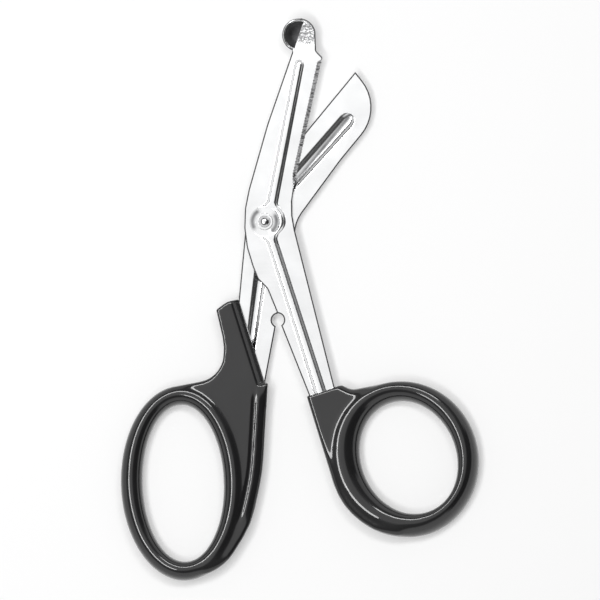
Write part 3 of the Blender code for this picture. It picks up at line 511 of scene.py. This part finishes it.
# %% Foot and ground strip
CUP_RADIUS = 4.7 * MM
LIP_WIDTH = 1.6 * MM
LIP_LOW = 6.9 * MM              # above the floor; what lies lower isn't the lip
LIP_SLOPE = 0.35                # the lip's rise over its width, which is taken away
LIP_FADE = 1.2 * MM             # from the crease, over which that starts


def flat_lip(bm):
    """Level the lip of the foot's cup, left of the crease, so that it shows as a bright line."""
    for vert in bm.verts:
        place = vert.co - foot_centre
        beyond = Vector(place[:2]).length - CUP_RADIUS
        share = min(1.0, max(0.0, -place.dot(crease_out) / LIP_FADE))
        if 0.0 < beyond < LIP_WIDTH and vert.co.z > LIP_LOW:
            vert.co.z -= LIP_SLOPE * beyond * share
    bm.normal_update()
    return bm


def shade_cup_inside(bm):
    """The inside of the foot's cup gets the dark rim steel, as painted shade of its hollow."""
    for face in bm.faces:
        place = face.calc_center_median() - foot_centre
        left = place.dot(crease_out) < -0.05 * MM and face.normal.z > -0.2
        if left and Vector(place[:2]).length < CUP_RADIUS:
            face.material_index = RIM_SHADE_SLOT
    return bm


def ground_edge(bm):
    """The serrated strip along the front blade's edge."""
    for face in bm.faces:
        place = face.calc_center_median() - pivot
        near = abs(place.dot(front_out) - FRONT_EDGE) < STRIP
        sloped = 0.2 < abs(face.normal.z) < 0.995
        if near and sloped and GROUND_START < place.dot(front_along) < GROUND_END:
            face.material_index = GROUND_SLOT
    return bm


# %% Blades in place
front_sheet = polished_sheet(flat_lip(joined_copy("serrated_blade")), FRONT_LEAN, FRONT_EDGE,
                             FRONT_BEND, FRONT_REACH)
ground_edge(shade_cup_inside(front_sheet))
finished(front_sheet, "serrated_blade_look", "serrated_blade",
         [blade_steel, rim_shade_steel, ground_steel])
rear_sheet = polished_sheet(joined_copy("plain_blade"), REAR_LEAN, REAR_EDGE, REAR_BEND,
                            REAR_REACH)
finished(rear_sheet, "plain_blade_look", "plain_blade", [rear_steel, rim_shade_steel])

# %% [markdown]
# ## Handles
# Each handle is one moulding, so loop and web flow into each other with a soft fillet that the
# construction leaves out. Voxels rebuild the skin as an even net, and a few rounds of smoothing
# then melt the seams together, as a mould maker's polishing stone would. Most rounds go to the
# hole and to the place where the web runs out into the loop, in ever smaller circles.

# %% Moulded handles
VOXEL = 0.4 * MM
HOLE_STEP = 0.5 * MM            # by which each circle round a hole is smaller
WEB_END_REACH = 9.0 * MM
WEB_END_STEP = 0.6 * MM


def melt(net, verts, rounds):
    """Move points halfway to the middle of their neighbours, some rounds over."""
    for _ in range(rounds):
        bmesh.ops.smooth_vert(net, verts=verts, factor=0.5, use_axis_x=True, use_axis_y=True,
                              use_axis_z=True)


def melt_circles(net, centre, first, step, circles, rounds):
    """Melt inside ever smaller circles, so that the melting fades out at the first one."""
    for number in range(circles):
        limit = first - number * step
        melt(net, [v for v in net.verts if (v.co.xy - centre).length < limit], rounds)


def moulded(node, hole, reach, web_end):
    """The piece with its seams melted, most of all round its hole and where its web runs out."""
    mesh = bpy.data.meshes.new(node + "_rough")
    joined = joined_copy(node)
    joined.to_mesh(mesh)
    joined.free()
    rough = bpy.data.objects.new(node + "_rough", mesh)
    bpy.context.scene.collection.objects.link(rough)
    remesh = rough.modifiers.new("voxels", "REMESH")
    remesh.mode = "VOXEL"
    remesh.voxel_size = VOXEL
    graph = bpy.context.evaluated_depsgraph_get()
    net = bmesh.new()
    net.from_mesh(rough.evaluated_get(graph).to_mesh())
    bpy.data.objects.remove(rough)
    melt(net, net.verts, rounds=4)
    melt_circles(net, hole, reach, HOLE_STEP, circles=8, rounds=2)
    melt_circles(net, web_end, WEB_END_REACH, WEB_END_STEP, circles=12, rounds=5)
    return net


# %% [markdown]
# The finger handle's right side falls away from a fine raised line, so that the palm meets no
# edge. The net is pressed down beside that line and lifted along it, by how far each point lies
# from the side. The side is measured on the net itself, in bands across its length.

# %% Shoulder along the finger handle
SHOULDER_WIDTH = 4.2 * MM
SHOULDER_DEPTH = 1.3 * MM
LINE_HEIGHT = 0.55 * MM
LINE_HALF = 1.1 * MM
SHOULDER_LOW = -76.0 * MM       # the shoulder's two ends, in the frame's Y
SHOULDER_HIGH = -29.0 * MM
SHOULDER_FADE = 6.0 * MM
BAND = 1.0 * MM


def measured_side(net):
    """The side's place in X for each band of Y, evened out over three bands each way."""
    side = {}
    for vert in net.verts:
        number = round(vert.co.y / BAND)
        side[number] = max(side.get(number, cad_low[0]), vert.co.x)
    even = {}
    for number in side:
        near = [side[n] for n in range(number - 3, number + 4) if n in side]
        even[number] = sum(near) / len(near)
    return even


def shouldered(net):
    """Press the right side down on both faces, beside a fine raised line."""
    even = measured_side(net)
    middle = cad_high[2] / 2
    pressed = []
    for vert in [v for v in net.verts if SHOULDER_LOW < v.co.y < SHOULDER_HIGH]:
        number = math.floor(vert.co.y / BAND)
        share = vert.co.y / BAND - number
        inwards = even[number] * (1 - share) + even[number + 1] * share - vert.co.x
        if inwards > SHOULDER_WIDTH + LINE_HALF:
            continue
        fade = min(1.0, min(vert.co.y - SHOULDER_LOW, SHOULDER_HIGH - vert.co.y) / SHOULDER_FADE)
        fade = fade * fade * (3 - 2 * fade)
        drop = SHOULDER_DEPTH * max(0.0, 1 - inwards / SHOULDER_WIDTH) ** 2
        line = LINE_HEIGHT * max(0.0, 1 - abs(inwards - SHOULDER_WIDTH) / LINE_HALF)
        half = abs(vert.co.z - middle) / middle
        vert.co.z -= math.copysign((drop - line) * half * fade, vert.co.z - middle)
        pressed.append(vert)
    melt(net, pressed, rounds=2)
    return net


# %% Handles in place
FINGER_HOLE = Vector((-38.85, -61.4)) * MM
FINGER_WEB_END = Vector((-32.2, -90.6)) * MM
FINGER_REACH = 38.0 * MM        # first circle round the hole, outside the whole loop
THUMB_HOLE = Vector((36.4, -52.8)) * MM
THUMB_WEB_END = Vector((34.3, -77.3)) * MM
THUMB_REACH = 31.0 * MM
NO_SHARP_EDGE = 180.0

finger_net = shouldered(moulded("finger_handle", FINGER_HOLE, FINGER_REACH, FINGER_WEB_END))
thumb_net = moulded("thumb_handle", THUMB_HOLE, THUMB_REACH, THUMB_WEB_END)
for net, node in ((finger_net, "finger_handle"), (thumb_net, "thumb_handle")):
    finished(net, node + "_look", node, [black_plastic], NO_SHARP_EDGE)

# %% [markdown]
# ## Rivet and washer
# The rivet's head is a low dome with a crisp ring under it. Both are turned shapes, so their
# joined copies only need smooth shading.

# %% Rivet and washer
finished(joined_copy("pivot_rivet"), "pivot_rivet_look", "pivot_rivet", [rivet_metal])
finished(joined_copy("rivet_washer"), "rivet_washer_look", "rivet_washer", [rear_steel])

# %% [markdown]
# ## Camera
# The view is straight down. A long lens keeps near and far pieces at one scale, and the width of the view takes in
# the whole length with a little room.


# %% Camera
VIEW_WIDTH = 201.0 * MM
LENS = 600.0
SENSOR = 36.0
AIM = Vector((-0.001, -0.108, 4.5)) * MM
lens = bpy.data.cameras.new("camera")
lens.lens = LENS
lens.sensor_width = SENSOR
lens.clip_start = 0.1
lens.clip_end = 20.0
camera = bpy.data.objects.new("camera", lens)
camera.location = AIM + Vector((0.0, 0.0, VIEW_WIDTH * LENS / SENSOR))
bpy.context.scene.collection.objects.link(camera)
bpy.context.scene.camera = camera
print("camera height in m:", round(camera.location.z, 2))

# %% [markdown]
# ## Light
# Steel shows what it faces. The studio is white overhead and white at the walls, with a dim ring
# between, so flat faces look white from any side and every rounded edge gets a thin dark line.
# A black flag at the right, as photographers use for metal, darkens the slopes that face right.
# Plastic only shows strong lights, so small lamps high at the left draw the crest of each loop.
# The world's own light on the scissors is one even grey: its white is only seen and mirrored.
# Each part of the studio is a mask on the direction, and the last factor in it sets how sharp
# its border is.

# %% World
CEILING_FROM = 0.93             # heights in a direction of length 1: 0 is level, 1 is overhead
WALLS_BELOW = 0.66
FLAG_FROM = 0.27
FLAG_AZIMUTH = math.radians(-12.0)
FLAG_SPREAD = 0.78              # half width, to its distance ahead
FLAG_NEAREST = 0.12             # least distance ahead
EVEN_LIGHT = 0.25
world = bpy.data.worlds.new("studio")
bpy.context.scene.world = world
world.use_nodes = True
sky = Finish(world.node_tree)
direction = sky.node("TexCoord", output="Generated")


def towards(azimuth):
    """How far a direction points towards an azimuth."""
    level = (math.cos(azimuth), math.sin(azimuth), 0.0)
    return sky.vectors("DOT_PRODUCT", direction, level, "Value")


up = sky.node("SeparateXYZ", output="Z", Vector=direction)
ahead = towards(FLAG_AZIMUTH)
aside = towards(FLAG_AZIMUTH + math.pi / 2).absolute()
ceiling = ((up - CEILING_FROM) * 22.0).clamp()
walls = ((WALLS_BELOW - up) * 8.0).clamp()
flag = ((ahead - FLAG_NEAREST) * 6.0).clamp() * ((FLAG_SPREAD - aside / ahead) * 5.0).clamp()
flag = flag * ((up - FLAG_FROM) * 10.0).clamp() * (1.0 - ceiling)
studio = sky.blend(ceiling, grey(0.16), grey(0.92))
studio = sky.blend(walls, studio, grey(1.0))
studio = sky.blend(flag, studio, grey(0.04))
feed(sky, world.node_tree.nodes["Background"], Strength=1.0,
     Color=sky.blend(sky.seen_rays(), grey(EVEN_LIGHT), studio))
print("world nodes:", len(world.node_tree.nodes))


# %% Lamps
LAMP_COUNT = 6
FIRST_AZIMUTH = 60.0            # 0 at +X, 90 at +Y
AZIMUTH_STEP = 36.0
LAMP_ELEVATION = math.radians(68.0)
LAMP_DISTANCE = 1.0
LAMP_TALL = 0.15
LAMP_WIDE = 0.24
LAMP_GLOW = 13.0                # 1 is white


def lamp(name, azimuth):
    """A soft box high over the scissors, facing them."""
    data = bpy.data.lights.new(name, "AREA")
    data.shape = "RECTANGLE"
    data.size = LAMP_TALL
    data.size_y = LAMP_WIDE
    data.energy = LAMP_GLOW * math.pi * LAMP_TALL * LAMP_WIDE
    made = bpy.data.objects.new(name, data)
    level = math.cos(LAMP_ELEVATION)
    made.location = Vector((math.cos(azimuth) * level, math.sin(azimuth) * level,
                            math.sin(LAMP_ELEVATION))) * LAMP_DISTANCE
    made.rotation_euler = (0.0, math.pi / 2 - LAMP_ELEVATION, azimuth)
    made.visible_camera = False
    bpy.context.scene.collection.objects.link(made)


for number in range(LAMP_COUNT):
    lamp("crest_lamp_%d" % number, math.radians(FIRST_AZIMUTH + AZIMUTH_STEP * number))
print("lamps:", LAMP_COUNT)

# %% [markdown]
# ## Floor
# A plain pale surface. To the camera and in the steel it is lifted towards white, and it still
# keeps the soft shadow that the scissors cast.

# %% Floor
FLOOR_LIFT = 0.3                # share of plain white that is only seen
FLOOR_HALF = 3.0
FLOOR_DROP = 0.01 * MM          # so that the two surfaces don't coincide
floor_material, floor_finish, floor_shader = new_finish("pale_floor")
feed(floor_finish, floor_shader, Base_Color=grey(0.93), Roughness=0.9)
white = floor_finish.node("Emission", Color=grey(1.0), Strength=1.0)
share = floor_finish.seen_rays() * FLOOR_LIFT
tree = floor_material.node_tree
mix = tree.nodes.new("ShaderNodeMixShader")
for source, slot in zip((share.socket, floor_shader.outputs[0], white.socket), mix.inputs):
    tree.links.new(source, slot)
tree.links.new(mix.outputs[0], tree.nodes["Material Output"].inputs["Surface"])
bm = bmesh.new()
bmesh.ops.create_grid(bm, x_segments=1, y_segments=1, size=FLOOR_HALF)
bmesh.ops.translate(bm, vec=(0.0, 0.0, -FLOOR_DROP), verts=bm.verts)
floor_mesh = bpy.data.meshes.new("floor")
bm.to_mesh(floor_mesh)
bm.free()
floor_mesh.materials.append(floor_material)
floor = bpy.data.objects.new("floor", floor_mesh)
bpy.context.scene.collection.objects.link(floor)

# %% [markdown]
# ## Colours
# The colours are shown as they are, with no film look.

# %% Finish
bpy.context.scene.view_settings.view_transform = "Standard"
